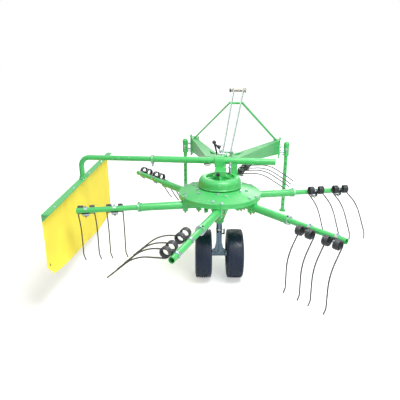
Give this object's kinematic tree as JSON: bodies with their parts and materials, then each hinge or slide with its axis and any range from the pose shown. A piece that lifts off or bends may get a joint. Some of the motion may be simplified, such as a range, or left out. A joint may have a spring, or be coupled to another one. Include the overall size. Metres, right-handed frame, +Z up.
{
  "type": "rotary hay rake",
  "caption": "Tractor-mounted rotary hay rake: spring tines on tube arms round a disc, twin ribbed wheels, swivelling headstock with mast, parking stands and a yellow side curtain.",
  "frame": {"origin": "middle of the bounding box at ground level", "axes": "+X to the right of the direction of travel, +Y the direction of travel, +Z up"},
  "size_m": [1.9109, 2.3362, 1.1502],
  "materials": {
    "light_green": "glossy bright green paint",
    "zinc": "zinc plated",
    "bare_steel": "bare turned steel",
    "black_paint": "satin black paint",
    "black_tine": "dark painted spring wire",
    "tyre": "ribbed rubber",
    "yellow_cloth": "coated cloth"
  },
  "bodies": {
    "rotor_unit": {"gearbox_dome": "light_green", "input_shaft": "bare_steel", "hub_cone": "light_green", "wheel_leg": "zinc", "axle": "zinc", "leg_hook": "black_paint", "swivel_carrier": "light_green", "boom_bracket": "light_green", "boom_post": "light_green", "curtain_boom": "light_green"},
    "wheels": {"tyre_left": "tyre", "tyre_right": "tyre", "rim_left": "zinc", "rim_right": "zinc"},
    "rotor": {"rotor_disc": "light_green", "arm_sleeve_1": "light_green", "arm_sleeve_2": "light_green", "arm_sleeve_3": "light_green", "arm_sleeve_4": "light_green", "arm_sleeve_5": "light_green", "arm_sleeve_6": "light_green"},
    "headstock": {"swivel_fork": "light_green", "swivel_pin": "zinc", "beam_left": "light_green", "beam_right": "light_green", "hitch_pins_left": "zinc", "hitch_pins_right": "zinc", "stand_sleeve_left": "light_green", "stand_sleeve_right": "light_green", "mast_leg_left": "light_green", "mast_leg_right": "light_green", "mast_cross": "light_green", "stay_left": "zinc", "stay_right": "zinc", "top_link_pin": "bare_steel", "stay_clevis": "zinc", "swivel_lever": "black_paint"},
    "stand_left": {"stand_leg_left": "light_green"},
    "stand_right": {"stand_leg_right": "light_green"},
    "curtain": {"curtain_tube": "light_green", "curtain_bar": "light_green", "curtain_cloth": "yellow_cloth"},
    "tine_arm_1": {"arm_tube_1": "light_green", "tines_1": "black_tine"},
    "tine_arm_2": {"arm_tube_2": "light_green", "tines_2": "black_tine"},
    "tine_arm_3": {"arm_tube_3": "light_green", "tines_3": "black_tine"},
    "tine_arm_4": {"arm_tube_4": "light_green", "tines_4": "black_tine"},
    "tine_arm_5": {"arm_tube_5": "light_green", "tines_5": "black_tine"},
    "tine_arm_6": {"arm_tube_6": "light_green", "tines_6": "black_tine"}
  },
  "joints": [
    {"name": "wheels_roll", "type": "hinge", "parent": "rotor_unit", "child": "wheels", "pos_m": [0.0274, -0.298, 0.165], "axis": [1, 0, 0], "continuous": true},
    {"name": "rotor_turn", "type": "hinge", "parent": "rotor_unit", "child": "rotor", "pos_m": [0.0274, -0.298, 0.55], "axis": [0, 0, 1], "continuous": true},
    {"name": "headstock_swivel", "type": "hinge", "parent": "rotor_unit", "child": "headstock", "pos_m": [0.0474, -0.068, 0.75], "axis": [0, 0, 1], "range_deg": [-10, 30]},
    {"name": "stand_left_lift", "type": "slide", "parent": "headstock", "child": "stand_left", "axis": [0, 0, 1], "range_m": [0, 0.3]},
    {"name": "stand_right_lift", "type": "slide", "parent": "headstock", "child": "stand_right", "axis": [0, 0, 1], "range_m": [0, 0.3]},
    {"name": "curtain_slide", "type": "slide", "parent": "rotor_unit", "child": "curtain", "axis": [-0.9945, 0.1045, 0], "range_m": [0, 0.2]},
    {"name": "tine_arm_1_roll", "type": "hinge", "parent": "rotor", "child": "tine_arm_1", "pos_m": [-0.40658, -0.43312, 0.55], "axis": [0.9871, 0.1599, 0], "range_deg": [0, 65]},
    {"name": "tine_arm_2_roll", "type": "hinge", "parent": "rotor", "child": "tine_arm_2", "pos_m": [-0.07257, -0.7414, 0.55], "axis": [0.3551, 0.9348, 0], "range_deg": [-49, 16]},
    {"name": "tine_arm_3_roll", "type": "hinge", "parent": "rotor", "child": "tine_arm_3", "pos_m": [0.36141, -0.60628, 0.55], "axis": [-0.632, 0.7749, 0], "range_deg": [0, 65]},
    {"name": "tine_arm_4_roll", "type": "hinge", "parent": "rotor", "child": "tine_arm_4", "pos_m": [0.46138, -0.16288, 0.55], "axis": [-0.9871, -0.1599, 0], "range_deg": [-42, 23]},
    {"name": "tine_arm_5_roll", "type": "hinge", "parent": "rotor", "child": "tine_arm_5", "pos_m": [0.12737, 0.1454, 0.55], "axis": [-0.3551, -0.9348, 0], "range_deg": [-62, 3]},
    {"name": "tine_arm_6_roll", "type": "hinge", "parent": "rotor", "child": "tine_arm_6", "pos_m": [-0.30661, 0.01028, 0.55], "axis": [0.632, -0.7749, 0], "range_deg": [-33, 32]}
  ]
}
